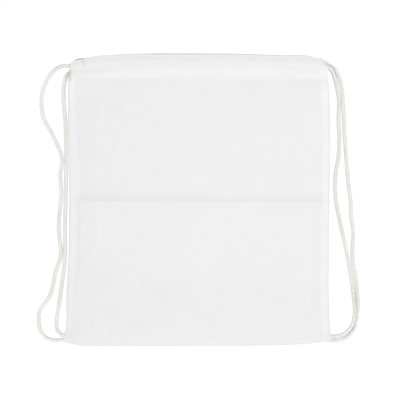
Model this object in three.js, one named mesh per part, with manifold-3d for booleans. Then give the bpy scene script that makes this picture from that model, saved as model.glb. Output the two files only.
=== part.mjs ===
// A cotton drawstring rucksack lying on its back, with the mouth towards +Y.
// Millimetres, +Z up, the back cloth on z = 0.
// One folded cloth makes the bag and both hem channels; two cords run through the channels.
// The cloth is given as its panels, seams, bottom fold and hem, a small gap apart.
import * as THREE from "three";
import Module from "manifold-3d";

const wasm = await Module();
wasm.setup();
const { Manifold, Mesh: SolidMesh } = wasm;
const { clamp, lerp, smoothstep } = THREE.MathUtils;

// Cloth, cord and the small gap that pieces keep.
const CLOTH = 1;
const CORD_DIAMETER = 5;
const CORD_ROOM = CORD_DIAMETER + 0.6;
const CLEARANCE = 0.5;
const CUT_GAP = 0.3;
const FLATNESS = 0.01;

// Heights of the lying bag.
const MOUTH_GAPE = 6;
const EDGE_HEIGHT = 5;
const BACK_CHANNEL_HEIGHT = CORD_ROOM + 2 * CLOTH;
const BODY_HEIGHT = BACK_CHANNEL_HEIGHT + MOUTH_GAPE + CLOTH;

// How the body swells: from the side edges, and from the bottom fold.
const SIDE_RUN = 45;
const FOOT_RUN = 40;
const FOOT_RADIUS = 4;
const FOOT_SHARE = (2 * FOOT_RADIUS - EDGE_HEIGHT) / (BODY_HEIGHT - EDGE_HEIGHT);

// Hem channel: depths below the mouth edge.
const STITCH_DEPTH = 36;
const CHANNEL_FLOOR = 34;
const CHANNEL_SHOULDER = 28;
const CHANNEL_TOP = 2.2;
const CHANNEL_TOP_ROUND = 3.3;
const LIP_ROUND = 3.8;
const LIP_DROP = 2.8;
const CORNER_BLEND = 36;

// Half widths: where the mouth ends, and where the channels of front and back join at the corners.
const MOUTH_HALF_WIDTH = 163;
const CORNER_START = 165;
const CORNER_END = 195;

// Side seam allowances, turned in, and the blank label caught in the right one.
const ALLOWANCE = { from: 0.5, to: 13, low: 1.5, high: 3.5 };
const LABEL = { left: 148, right: 184, bottom: 92.4, top: 110.9 };

// Where the cloth is divided: the panels lie between these lines, front and back apart at mid height.
const PANEL = { left: -147, right: 148, bottom: -173, top: 165, middle: 7 };

// The flattened edge of a half-round rim, as a share of its height.
const BLUNT = 0.25;

// Outline of the lying bag.
const SIDES = [
  { y: -193.7, left: -189.1, right: 189.2 },
  { y: -142.6, left: -187.1, right: 186.4 },
  { y: -85.8, left: -184.2, right: 186.4 },
  { y: -0.6, left: -182.8, right: 187.0 },
  { y: 127.2, left: -184.2, right: 187.8 },
  { y: 169.8, left: -183.8, right: 185.4 },
  { y: 192.6, left: -180.7, right: 183.5 },
];
const MOUTH_EDGE = [
  { x: -180.7, y: 194.0 },
  { x: -172.9, y: 199.7 },
  { x: -161.5, y: 201.5 },
  { x: -138.8, y: 204.2 },
  { x: -82.0, y: 207.6 },
  { x: 3.2, y: 207.9 },
  { x: 60.0, y: 207.3 },
  { x: 116.8, y: 205.3 },
  { x: 162.0, y: 203.2 },
  { x: 173.6, y: 201.0 },
  { x: 183.5, y: 195.4 },
];
const FOOT_EDGE = [
  { x: -188.5, y: -202.2 },
  { x: -181.4, y: -205.0 },
  { x: -167.0, y: -207.5 },
  { x: -138.8, y: -208.2 },
  { x: 3.0, y: -207.9 },
  { x: 88.4, y: -207.5 },
  { x: 145.2, y: -205.9 },
  { x: 173.6, y: -203.3 },
  { x: 189.2, y: -202.2 },
];

// Ridges of the front cloth: the crease where it was folded in half, and the gathers at the mouth's corners.
const FOLDS = [
  { name: "half crease", x0: -166, y0: 0, x1: 172, y1: 0, rise: 2.4, reach: 26 },
  { name: "left gather", x0: -160, y0: 199, x1: -158, y1: 150, rise: 1.2, reach: 9 },
  { name: "right gather", x0: 166, y0: 199, x1: 160, y1: 152, rise: 1.2, reach: 9 },
];

// Stations of the net: insets from the sides, from the bottom fold and from the mouth edge,
// and fixed places between.
const SIDE_INSETS = [0, 0.5, 1.3, 2.5, 6, 13, 22, 32, 39, 46];
const MIDDLE_X = [-112, -84, -56, -28, 0, 28, 56, 84, 112];
const FOOT_INSETS = [0, 0.8, 2, 4, 9, 16, 26, 35, 44];
const MIDDLE_Y = [-132, -100, -62, -26, -12, -4, 0, 4, 12, 26, 62, 100];
const BODY_MOUTH_INSETS = [74, 58, 46, 38];
const OUTER_HEM_INSETS = [36, 32, 28, 16, 6, LIP_ROUND, 1.9, 0.6, 0];
const MOUTH_HEM_INSETS = [36, 32, 28, LIP_ROUND, 1.9, 0.6, 0, -6];
const CHANNEL_INSETS = [CHANNEL_FLOOR, 31, CHANNEL_SHOULDER, 8, 5.5, 4, 3, CHANNEL_TOP];

// Cord routes, chosen by hand: up from the sewn end, through the front channel, round the far corner,
// through the back channel and down again beside itself.
const LEFT_ROUTE = [
  [-189.8, -199.1, 2.5], [-204.6, -200.1, 2.5], [-215.7, -196.7, 2.5], [-223.9, -186.5, 2.5],
  [-226.5, -170.4, 2.5], [-225, -158.6, 2.5], [-219.1, -149.2, 2.5], [-211.4, -139.2, 2.5],
  [-206.9, -126, 2.5], [-202, -101.5, 2.5], [-197.2, -88.5, 2.5], [-194.7, -75, 2.5], [-197.2, -55, 2.5],
  [-198, -33, 2.5], [-194.2, 8, 2.5], [-195.8, 35, 2.5], [-193.1, 57.5, 2.5], [-206.2, 91, 2.5],
  [-220.8, 120, 2.5], [-220.4, 156, 2.6], [-205.4, 182.3, 8], [-192.8, 189.2, 13.4], [-182, 189.6, 16.5],
  [-172, 190, 17.3], [-163, 190.8, 17.4], [-140, 193, 17.4], [-90, 197.5, 17.4], [150, 197, 17.4],
  [166.5, 196.1, 17.4], [175, 192.9, 14.8], [177.6, 187.5, 10.6], [175, 182, 6.4], [166.5, 178.7, 3.8],
  [150, 179.6, 3.8], [40, 187, 3.8], [-90, 187, 3.8], [-148, 185.8, 3.8], [-166, 184.8, 3.85],
  [-179, 182.4, 4.8], [-187, 175.5, 4.9], [-190.4, 162.5, 3.6], [-191.1, 145, 2.7], [-188.4, 110, 2.5],
  [-187.3, 62, 2.5], [-187.8, 8, 2.5], [-189.2, -48, 2.5], [-189.4, -86, 2.5], [-193.8, -124, 2.5],
  [-198.9, -157.5, 2.5], [-201, -172, 2.5], [-200.8, -181.6, 2.5], [-198.6, -188, 2.5],
  [-195, -191.7, 2.5], [-190.2, -193.1, 2.5],
];
const RIGHT_ROUTE = [
  [190.4, -194.6, 2.5], [206.4, -192.1, 3.4], [216.7, -183.1, 5.3], [221.8, -170.6, 6.6],
  [223.2, -158, 6.3], [222.3, -144, 4], [218.6, -112, 2.5], [212.2, -77, 2.5], [203.4, -36, 2.5],
  [196, 4, 2.5], [196.2, 38, 2.5], [200, 58, 2.5], [201.5, 88, 2.5], [200.1, 116, 2.5], [201.1, 138, 2.5],
  [197.4, 163, 3.7], [195.1, 171, 5.4], [192.2, 179.4, 8.8], [188.6, 185, 12.8], [182.6, 187.7, 16.2],
  [175.5, 186.9, 17.35], [166, 185.4, 17.4], [60, 187.5, 17.45], [-60, 187, 17.4], [-150, 179.6, 17.4],
  [-165.5, 178, 17.4], [-173.5, 180.6, 15], [-176.2, 186.2, 10.6], [-173.5, 191.9, 6.2],
  [-165.5, 194.5, 3.8], [-150, 195.3, 3.8], [-60, 199.8, 3.8], [60, 199.8, 3.8], [152, 195, 3.8],
  [172, 192.6, 3.9], [184.5, 191.3, 5.2], [193.8, 186.8, 5.6], [199.8, 176.5, 4.6], [204.2, 163.5, 3.2],
  [206.4, 146, 2.6], [208.2, 106, 2.5], [210.8, 66, 2.5], [214.6, 22, 2.5], [217.9, -4, 2.5],
  [218, -22, 2.5], [221.4, -46, 2.5], [220.2, -72, 2.5], [221.4, -92, 2.5], [224.8, -109, 2.5],
  [226.8, -130, 2.5], [227.7, -146, 2.5], [227.3, -158, 2.5], [225.8, -171.8, 2.5], [220.8, -187, 2.5],
  [208, -198, 2.5], [190.2, -200.9, 2.5],
];

// A smooth curve through one column of a table, read at any place.
function through(rows, place, value) {
  const places = rows.map((row) => row[place]);
  const values = rows.map((row) => row[value]);
  const curve = new THREE.CubicInterpolant(places, values, 1);
  return (at) => curve.evaluate(at)[0];
}

const leftEdge = through(SIDES, "y", "left");
const rightEdge = through(SIDES, "y", "right");
const mouthEdge = through(MOUTH_EDGE, "x", "y");
const footEdge = through(FOOT_EDGE, "x", "y");

// How far a point lies below the mouth edge, inside the nearer side and above the bottom fold.
function insetsAt(x, y) {
  return {
    mouth: mouthEdge(x) - y,
    side: Math.min(x - leftEdge(y), rightEdge(y) - x),
    foot: y - footEdge(x),
  };
}

// A quarter wave, from 0 at an edge to 1 at the end of the run.
function swell(distance, run) {
  return Math.sin((Math.PI / 2) * clamp(distance / run, 0, 1));
}

// A quarter round, from a blunt edge to 1 at one radius inside it.
function rim(distance, radius) {
  const outside = 1 - clamp(distance / radius, 0, 1);
  return Math.max(BLUNT, Math.sqrt(1 - outside * outside));
}

// Height of the front cloth above the floor, without the hem and the folds.
function bodyHeight({ mouth, side, foot }) {
  const belowHem = smoothstep(mouth, STITCH_DEPTH + 2, STITCH_DEPTH + CORNER_BLEND);
  const fromSide = lerp(1, swell(side, SIDE_RUN), belowHem);
  const fromFoot = lerp(FOOT_SHARE, 1, swell(foot, FOOT_RUN));
  return EDGE_HEIGHT + (BODY_HEIGHT - EDGE_HEIGHT) * fromSide * fromFoot;
}

// Rounding of the closed edges, for the outside or for a wall's thickness further in.
function edgeRound({ mouth, side, foot }, wall) {
  const sideRim = rim(side - wall, EDGE_HEIGHT / 2 - wall);
  const closed = smoothstep(mouth, STITCH_DEPTH, STITCH_DEPTH + 6);
  return Math.min(lerp(1, sideRim, closed), rim(foot - wall, FOOT_RADIUS - wall));
}

// Room that the channel takes, nothing at the stitch line.
function channelRoom(mouth) {
  return CORD_ROOM * (1 - smoothstep(mouth, CHANNEL_SHOULDER, STITCH_DEPTH));
}

// What the hem adds to a single cloth: the channel's room and the second layer.
function hemLift(mouth) {
  return channelRoom(mouth) + CLOTH * (1 - smoothstep(mouth, STITCH_DEPTH, STITCH_DEPTH + 2));
}

function lipDrop(mouth) {
  return LIP_DROP * (1 - rim(mouth, LIP_ROUND));
}

// The sum of the ridges at a point, each falling to nothing at its reach.
function foldHeight(x, y) {
  const point = new THREE.Vector3(x, y, 0);
  const nearest = new THREE.Vector3();
  let height = 0;
  for (const fold of FOLDS) {
    const start = new THREE.Vector3(fold.x0, fold.y0, 0);
    const end = new THREE.Vector3(fold.x1, fold.y1, 0);
    const crest = new THREE.Line3(start, end);
    crest.closestPointToPoint(point, true, nearest);
    const share = Math.max(0, 1 - point.distanceTo(nearest) / fold.reach);
    height += fold.rise * share * share;
  }
  return height;
}

function outerHigh(x, y) {
  const insets = insetsAt(x, y);
  const half = bodyHeight(insets) / 2;
  const round = edgeRound(insets, 0);
  return half + (half + foldHeight(x, y)) * round + hemLift(insets.mouth) - lipDrop(insets.mouth);
}

function outerLow(x, y) {
  const insets = insetsAt(x, y);
  const half = bodyHeight(insets) / 2;
  return half - half * edgeRound(insets, 0) + lipDrop(insets.mouth);
}

function cavityHigh(x, y) {
  const insets = insetsAt(x, y);
  const half = bodyHeight(insets) / 2;
  const fold = foldHeight(x, y) * smoothstep(insets.mouth, STITCH_DEPTH + 2, STITCH_DEPTH + 14);
  return half + (half - CLOTH + fold) * edgeRound(insets, CLOTH) + lipDrop(insets.mouth);
}

function cavityLow(x, y) {
  const insets = insetsAt(x, y);
  const half = bodyHeight(insets) / 2;
  return half - (half - CLOTH) * edgeRound(insets, CLOTH) + hemLift(insets.mouth) - lipDrop(insets.mouth);
}

// Half the channel's room that its rounded top takes away.
function channelTopRound(mouth) {
  return (CORD_ROOM / 2) * (1 - rim(mouth - CHANNEL_TOP, CHANNEL_TOP_ROUND));
}

function channelHigh(base) {
  return (x, y) => {
    const mouth = mouthEdge(x) - y;
    return base + channelRoom(mouth) - channelTopRound(mouth);
  };
}

function channelLow(base) {
  return (x, y) => base + channelTopRound(mouthEdge(x) - y);
}

// Columns give x at a height on the picture, rows give y at a place across it.
const fromLeft = (inset) => (y) => leftEdge(y) + inset;
const fromRight = (inset) => (y) => rightEdge(y) - inset;
const atX = (x) => () => x;
const fromFoot = (inset) => (x) => footEdge(x) + inset;
const fromMouth = (inset) => (x) => mouthEdge(x) - inset;
const atY = (y) => () => y;

// The cavity's side: one cloth inside the side edge, and the mouth's own end within the hem.
function cavitySide(edge, sign) {
  return (inset) => (y) => {
    const inHem = smoothstep(y, 157, 160);
    return lerp(edge(y) - sign * CLOTH, sign * MOUTH_HALF_WIDTH, inHem) - sign * inset;
  };
}

// Where a column and a row cross.
function crossing(column, row) {
  let x = column(0);
  let y = row(x);
  for (let pass = 0; pass < 3; pass += 1) {
    x = column(y);
    y = row(x);
  }
  return { x, y };
}

// A closed solid between two heights, over a net of columns and rows.
function slab(columns, rows, low, high) {
  const points = [];
  for (const level of [low, high]) {
    for (const row of rows) {
      for (const column of columns) {
        const { x, y } = crossing(column, row);
        points.push(x, y, level(x, y));
      }
    }
  }
  const width = columns.length;
  const at = (level, row, column) => (level * rows.length + row) * width + column;
  const faces = [];
  const quad = (a, b, c, d) => faces.push(a, b, c, a, c, d);
  const lastRow = rows.length - 1;
  const lastColumn = width - 1;
  for (let row = 0; row < lastRow; row += 1) {
    for (let column = 0; column < lastColumn; column += 1) {
      quad(at(1, row, column), at(1, row, column + 1), at(1, row + 1, column + 1), at(1, row + 1, column));
      quad(at(0, row + 1, column), at(0, row + 1, column + 1), at(0, row, column + 1), at(0, row, column));
    }
  }
  for (let column = 0; column < lastColumn; column += 1) {
    quad(at(0, 0, column), at(0, 0, column + 1), at(1, 0, column + 1), at(1, 0, column));
    const next = column + 1;
    quad(at(0, lastRow, next), at(0, lastRow, column), at(1, lastRow, column), at(1, lastRow, next));
  }
  for (let row = 0; row < lastRow; row += 1) {
    quad(at(0, row + 1, 0), at(0, row, 0), at(1, row, 0), at(1, row + 1, 0));
    const next = row + 1;
    quad(at(0, row, lastColumn), at(0, next, lastColumn), at(1, next, lastColumn), at(1, row, lastColumn));
  }
  const mesh = new SolidMesh({
    numProp: 3,
    vertProperties: new Float32Array(points),
    triVerts: new Uint32Array(faces),
  });
  return new Manifold(mesh);
}

// Columns across the whole bag, from the left side to the right one.
function acrossBag(left, right) {
  const inward = [...SIDE_INSETS].reverse();
  return [...SIDE_INSETS.map(left), ...MIDDLE_X.map(atX), ...inward.map(right)];
}

// Rows up the whole bag, from the bottom fold to the mouth.
function upBag(wall, hemInsets) {
  return [
    ...FOOT_INSETS.map((inset) => fromFoot(Math.max(wall, inset + wall))),
    ...MIDDLE_Y.map(atY),
    ...[...BODY_MOUTH_INSETS, ...hemInsets].map(fromMouth),
  ];
}

function channel(base) {
  const columns = [-CORNER_START - 2, -120, -60, 0, 60, 120, CORNER_START + 2].map(atX);
  return slab(columns, CHANNEL_INSETS.map(fromMouth), channelLow(base), channelHigh(base));
}

// At a corner the front and back channels join and open to the side.
function corner(backBase, frontBase, xs) {
  return slab(xs.map(atX), CHANNEL_INSETS.map(fromMouth), channelLow(backBase), channelHigh(frontBase));
}

// A side seam's allowance, turned in between front and back.
function allowance(columns) {
  const rows = [fromFoot(14), ...MIDDLE_Y.map(atY), fromMouth(58)];
  return slab(columns, rows, () => ALLOWANCE.low, () => ALLOWANCE.high);
}

// The folded cloth: its outside less the room inside, the channels and their corners, with both allowances.
function bagBody() {
  const outside = slab(acrossBag(fromLeft, fromRight), upBag(0, OUTER_HEM_INSETS), outerLow, outerHigh);
  const sides = acrossBag(cavitySide(leftEdge, -1), cavitySide(rightEdge, 1));
  const inside = slab(sides, upBag(CLOTH, MOUTH_HEM_INSETS), cavityLow, cavityHigh);
  const backBase = CLOTH;
  const frontBase = BODY_HEIGHT;
  const cornerX = [CORNER_START, 172, 178, CORNER_END];
  const leftCornerX = cornerX.map((x) => -x).reverse();
  let body = outside.subtract(inside);
  body = body.subtract(channel(backBase)).subtract(channel(frontBase));
  body = body.subtract(corner(backBase, frontBase, cornerX));
  body = body.subtract(corner(backBase, frontBase, leftCornerX));
  body = body.add(allowance([fromLeft(ALLOWANCE.from), fromLeft(ALLOWANCE.to)]));
  return body.add(allowance([fromRight(ALLOWANCE.to), fromRight(ALLOWANCE.from)]));
}

// What lies above and below a line across the solid, half the cut's gap from it.
function divide(solid, axis, place) {
  const up = [0, 1, 2].map((index) => (index === axis ? 1 : 0));
  const down = up.map((value) => -value);
  return {
    below: solid.trimByPlane(down, -(place - CUT_GAP / 2)),
    above: solid.trimByPlane(up, place + CUT_GAP / 2),
  };
}

// The cloth by its parts: hem, bottom fold, both seams, and the panels between them.
function clothParts() {
  const [X, Y, Z] = [0, 1, 2];
  const hemCut = divide(bagBody(), Y, PANEL.top);
  const foldCut = divide(hemCut.below, Y, PANEL.bottom);
  const leftCut = divide(foldCut.above, X, PANEL.left);
  const rightCut = divide(leftCut.above, X, PANEL.right);
  const panels = divide(rightCut.below, Z, PANEL.middle);
  return {
    front_panel: panels.above,
    back_panel: panels.below,
    left_seam: leftCut.below,
    right_seam: rightCut.above,
    bottom_fold: foldCut.below,
    mouth_hem: hemCut.above,
  };
}

// The blank label lies under the front cloth, over the right allowance.
function sideLabel() {
  const columns = [LABEL.left, 157, 166, 175, LABEL.right].map(atX);
  const rows = [LABEL.bottom, LABEL.top].map(atY);
  const high = (x, y) => cavityHigh(x, y) - CLEARANCE;
  return slab(columns, rows, (x, y) => high(x, y) - CLOTH, high);
}

// A curve read by its own points, so that close points make short steps.
class CordPath extends THREE.CatmullRomCurve3 {
  getPointAt(at, target) {
    return this.getPoint(at, target);
  }

  getTangentAt(at, target) {
    return this.getTangent(at, target);
  }
}

// A plain round tube along a route.
function cord(route) {
  const path = new CordPath(route.map(([x, y, z]) => new THREE.Vector3(x, y, z)));
  const corners = 8;
  const section = new THREE.Shape();
  section.setFromPoints(Array.from({ length: corners }, (_, index) => {
    const angle = (2 * Math.PI * index) / corners;
    return new THREE.Vector2(Math.cos(angle), Math.sin(angle)).multiplyScalar(CORD_DIAMETER / 2);
  }));
  return new THREE.ExtrudeGeometry(section, { steps: 2 * (route.length - 1), extrudePath: path });
}

// A solid as a geometry, with level neighbouring faces joined.
function geometryOf(solid) {
  const { vertProperties, triVerts } = solid.simplify(FLATNESS).getMesh();
  const geometry = new THREE.BufferGeometry();
  geometry.setAttribute("position", new THREE.BufferAttribute(vertProperties, 3));
  geometry.setIndex(new THREE.BufferAttribute(triVerts, 1));
  geometry.computeVertexNormals();
  return geometry;
}

function piece(name, geometry, color) {
  const mesh = new THREE.Mesh(geometry, new THREE.MeshStandardMaterial({ color, roughness: 0.9 }));
  mesh.name = name;
  return mesh;
}

const bag = new THREE.Group();
bag.name = "drawstring_bag";
for (const [name, solid] of Object.entries(clothParts())) {
  bag.add(piece(name, geometryOf(solid), 0xefeeea));
}
bag.add(piece("left_cord", cord(LEFT_ROUTE), 0xe6e2d6));
bag.add(piece("right_cord", cord(RIGHT_ROUTE), 0xe6e2d6));
bag.add(piece("side_label", geometryOf(sideLabel()), 0xf6f6f3));

export default bag;
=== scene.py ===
# %% [markdown]
# # A cotton drawstring bag, lying on its back
# The bag is one white cotton cloth, folded at the bottom and sewn up at the sides, with a wide hem round
# the mouth. Two twisted cords run through the hem. Their ends are sewn in at the bottom corners, so they
# serve as shoulder straps. We start from the solids of the bag, which give the size and the place of
# everything, and dress them.

# %% Load the frame
import bpy
import math
import numpy as np
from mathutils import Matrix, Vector


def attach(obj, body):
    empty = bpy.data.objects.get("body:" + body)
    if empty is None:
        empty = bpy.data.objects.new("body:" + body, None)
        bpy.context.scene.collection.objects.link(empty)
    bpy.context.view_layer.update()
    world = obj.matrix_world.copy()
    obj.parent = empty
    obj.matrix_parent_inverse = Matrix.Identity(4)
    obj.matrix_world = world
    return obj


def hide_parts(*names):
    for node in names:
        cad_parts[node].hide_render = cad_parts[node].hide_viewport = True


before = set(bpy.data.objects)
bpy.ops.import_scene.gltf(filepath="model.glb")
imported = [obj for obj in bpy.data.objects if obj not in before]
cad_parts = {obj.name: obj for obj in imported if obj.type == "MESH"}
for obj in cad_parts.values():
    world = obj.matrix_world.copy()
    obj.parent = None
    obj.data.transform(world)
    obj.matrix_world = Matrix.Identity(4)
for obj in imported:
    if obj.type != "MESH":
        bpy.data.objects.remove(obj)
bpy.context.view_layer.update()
MM = 0.001

# %% [markdown]
# ## Camera
# The photograph looks straight down on the bag. A long lens from high above gives the same flat view,
# with hardly any perspective. The lens is worked out from the width of floor that the picture shows.

# %% Camera straight above
FLOOR_ACROSS = 0.568
LOOK_AT = (0.0032, -0.0006)
CAMERA_HEIGHT = 3.0
SHARP_LEVEL = 0.010
SENSOR_WIDTH = 36.0

bpy.ops.object.select_all(action="DESELECT")
bpy.ops.object.camera_add(location=(*LOOK_AT, CAMERA_HEIGHT), rotation=(0, 0, 0))
camera = bpy.context.object
camera.name = "overhead_camera"
camera.data.sensor_width = SENSOR_WIDTH
camera.data.lens = SENSOR_WIDTH * (CAMERA_HEIGHT - SHARP_LEVEL) / FLOOR_ACROSS
bpy.context.scene.camera = camera
print("lens in millimetres:", round(camera.data.lens, 1))

# %% [markdown]
# ## Floor and light
# The photograph's background is pure white, with no shadow at all, as if the bag had been cut out. A
# table that shone on the bag would brighten its edges until they melt into the white. So the table has
# two faces: for the camera it is an even white glow, and for all other light it is plain matt grey. The
# Light Path node tells the two apart. A pale sky fills every fold. One soft sun stands off towards the
# bottom of the picture, because the slopes that face that way are the lighter ones there.

# %% Helpers for nodes
def shader_material(name):
    material = bpy.data.materials.new(name)
    material.use_nodes = True
    tree = material.node_tree
    tree.nodes.clear()
    output = tree.nodes.new("ShaderNodeOutputMaterial")
    shader = tree.nodes.new("ShaderNodeBsdfPrincipled")
    tree.links.new(shader.outputs["BSDF"], output.inputs["Surface"])
    return material, shader


def plug(tree, value, socket):
    if isinstance(value, bpy.types.NodeSocket):
        tree.links.new(value, socket)
    else:
        socket.default_value = value


def fill(tree, node, inputs):
    for title, value in inputs.items():
        plug(tree, value, node.inputs[title])


def add_node(tree, kind, output, inputs, **settings):
    """Adds a node with its settings and its inputs, which are values or links. Gives one of its outputs."""
    node = tree.nodes.new("ShaderNode" + kind)
    for setting, value in settings.items():
        setattr(node, setting, value)
    fill(tree, node, inputs)
    return node.outputs[output]


def spread(tree, value, low, high, to_low, to_high):
    return add_node(tree, "MapRange", "Result", dict(enumerate((value, low, high, to_low, to_high))))


# %% A white table that stays white
FLOOR_SIZE = 8.0
FLOOR_BELOW = 0.4 * MM
FLOOR_GLOW = 1.03
FLOOR_GREY = 0.6

bpy.ops.object.select_all(action="DESELECT")
bpy.ops.mesh.primitive_plane_add(size=FLOOR_SIZE, location=(0, 0, -FLOOR_BELOW))
floor = bpy.context.object
floor.name = "white_table"
table_white, table_shader = shader_material("table_white")
table_tree = table_white.node_tree
seen = add_node(table_tree, "LightPath", "Is Camera Ray", {})
fill(table_tree, table_shader, {
    "Roughness": 1.0, "Specular IOR Level": 0.0, "Emission Color": (1, 1, 1, 1),
    "Base Color": spread(table_tree, seen, 0.0, 1.0, FLOOR_GREY, 0.0),
    "Emission Strength": spread(table_tree, seen, 0.0, 1.0, 0.0, FLOOR_GLOW),
})
floor.data.materials.append(table_white)
print("table", FLOOR_SIZE, "m wide")

# %% A pale sky and one soft sun
SKY_STRENGTH = 1.03
SUN_FROM = (1.3, -3.1, 2.9)
SUN_STRENGTH = 0.52
SUN_ANGLE = math.radians(30)

scene = bpy.context.scene
scene.world = bpy.data.worlds.new("pale_sky")
scene.world.use_nodes = True
sky = scene.world.node_tree.nodes["Background"]
sky.inputs["Color"].default_value = (1, 1, 1, 1)
sky.inputs["Strength"].default_value = SKY_STRENGTH
scene.view_settings.view_transform = "Standard"

bpy.ops.object.select_all(action="DESELECT")
bpy.ops.object.light_add(type="SUN", location=SUN_FROM)
sun = bpy.context.object
sun.name = "soft_sun"
sun.data.angle = SUN_ANGLE
sun.data.energy = SUN_STRENGTH
sun.rotation_euler = Vector(SUN_FROM).to_track_quat("Z", "Y").to_euler()
print("sky", SKY_STRENGTH, "and sun", SUN_STRENGTH)

# %% [markdown]
# ## The cords
# Each cord is three soft strands of cotton twisted together, about 5 mm thick. It starts at its bottom
# corner, runs up beside the bag and through the front hem, turns round in the far corner, comes back
# through the back hem and goes down beside itself. A curve with a bevel would give a plain tube. We sweep
# a three-lobed section along the route instead and turn it as it goes, so the strands are real shape and
# not only paint.

# %% The two routes, in metres
# The first and the last point of each route lie inside the seam, between the two layers of cloth.
LEFT_ROUTE = np.array([
    (-180.5, -198.8, 3.9),
    (-189.8, -199.1, 3.1), (-204.6, -200.1, 2.5), (-215.7, -196.7, 2.5), (-223.9, -186.5, 2.5),
    (-226.5, -170.4, 2.5), (-225, -158.6, 2.5), (-219.1, -149.2, 2.5), (-211.4, -139.2, 2.5),
    (-206.9, -126, 2.5), (-202, -101.5, 2.5), (-197.2, -88.5, 2.5), (-194.7, -75, 2.5),
    (-197.2, -55, 2.5), (-198, -33, 2.5), (-194.2, 8, 2.5), (-195.8, 35, 2.5), (-193.1, 57.5, 2.5),
    (-206.2, 91, 2.5), (-220.8, 120, 2.5), (-220.4, 156, 2.6), (-205.4, 182.3, 8), (-192.8, 189.2, 13.4),
    (-182, 189.6, 16.5), (-172, 190, 17.3), (-163, 190.8, 17.4), (-140, 193, 17.4), (-90, 197.5, 17.4),
    (150, 197, 17.4), (166.5, 196.1, 17.4), (175, 192.9, 14.8), (177.6, 187.5, 10.6), (175, 182, 6.4),
    (166.5, 178.7, 3.8), (150, 179.6, 3.8), (40, 187, 3.8), (-90, 187, 3.8), (-148, 185.8, 3.8),
    (-166, 184.8, 3.85), (-179, 182.4, 4.8), (-187, 175.5, 4.9), (-190.4, 162.5, 3.6), (-191.1, 145, 2.7),
    (-188.4, 110, 2.5), (-187.3, 62, 2.5), (-187.8, 8, 2.5), (-189.2, -48, 2.5), (-189.4, -86, 2.5),
    (-193.8, -124, 2.5), (-198.9, -157.5, 2.5), (-201, -172, 2.5), (-200.8, -181.6, 2.5),
    (-198.6, -188, 2.5), (-195, -191.7, 2.5), (-190.2, -193.1, 3.1),
    (-181.5, -193.4, 3.9),
]) * MM
RIGHT_ROUTE = np.array([
    (181.5, -194.6, 3.9),
    (190.4, -194.6, 3.1), (206.4, -192.1, 3.4), (216.7, -183.1, 5.3), (221.8, -170.6, 6.6),
    (223.2, -158, 6.3), (222.3, -144, 4), (218.6, -112, 2.5), (212.2, -77, 2.5), (203.4, -36, 2.5),
    (196, 4, 2.5), (196.2, 38, 2.5), (200, 58, 2.5), (201.5, 88, 2.5), (200.1, 116, 2.5),
    (201.1, 138, 2.5), (197.4, 163, 3.7), (195.1, 171, 5.4), (192.2, 179.4, 8.8), (188.6, 185, 12.8),
    (182.6, 187.7, 16.2), (175.5, 186.9, 17.35), (166, 185.4, 17.4), (60, 187.5, 17.45), (-60, 187, 17.4),
    (-150, 179.6, 17.4), (-165.5, 178, 17.4), (-173.5, 180.6, 15), (-176.2, 186.2, 10.6),
    (-173.5, 191.9, 6.2), (-165.5, 194.5, 3.8), (-150, 195.3, 3.8), (-60, 199.8, 3.8), (60, 199.8, 3.8),
    (152, 195, 3.8), (172, 192.6, 3.9), (184.5, 191.3, 5.2), (193.8, 186.8, 5.6), (199.8, 176.5, 4.6),
    (204.2, 163.5, 3.2), (206.4, 146, 2.6), (208.2, 106, 2.5), (210.8, 66, 2.5), (214.6, 22, 2.5),
    (217.9, -4, 2.5), (218, -22, 2.5), (221.4, -46, 2.5), (220.2, -72, 2.5), (221.4, -92, 2.5),
    (224.8, -109, 2.5), (226.8, -130, 2.5), (227.7, -146, 2.5), (227.3, -158, 2.5), (225.8, -171.8, 2.5),
    (220.8, -187, 2.5), (208, -198, 2.5), (190.2, -200.9, 3.1),
    (180.5, -200.0, 3.9),
]) * MM
print("route points:", len(LEFT_ROUTE), "and", len(RIGHT_ROUTE))

# %% A smooth curve through the points
CURVE_STEPS = 40


def smooth_route(points):
    """A rounded curve through all points, which bends no more than it must where they lie close."""
    ends = [2 * points[0] - points[1], 2 * points[-1] - points[-2]]
    knots = np.vstack([ends[:1], points, ends[1:]])
    share = np.linspace(0, 1, CURVE_STEPS, endpoint=False)[:, None]
    spans = []
    for before, start, stop, after in zip(knots, knots[1:], knots[2:], knots[3:]):
        gap_in, gap, gap_out = (
            math.sqrt(np.linalg.norm(b - a)) for a, b in ((before, start), (start, stop), (stop, after))
        )
        leave = (start - before) / gap_in - (stop - before) / (gap_in + gap) + (stop - start) / gap
        arrive = (stop - start) / gap - (after - start) / (gap + gap_out) + (after - stop) / gap_out
        leave, arrive = leave * gap, arrive * gap
        square = 3 * (stop - start) - 2 * leave - arrive
        cubic = 2 * (start - stop) + leave + arrive
        spans.append(start + leave * share + square * share**2 + cubic * share**3)
    return np.vstack([*spans, points[-1:]])


def even_steps(curve, step):
    """The same curve with its points a fixed step apart, and the length run at each."""
    run = np.concatenate([[0], np.cumsum(np.linalg.norm(np.diff(curve, axis=0), axis=1))])
    places = np.linspace(0, run[-1], round(run[-1] / step) + 1)
    return np.column_stack([np.interp(places, run, curve[:, axis]) for axis in range(3)]), places


# %% Soft, seeded noise
NOISE_CELLS = 64
NOISE_START = (17.3, 31.7)


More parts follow.
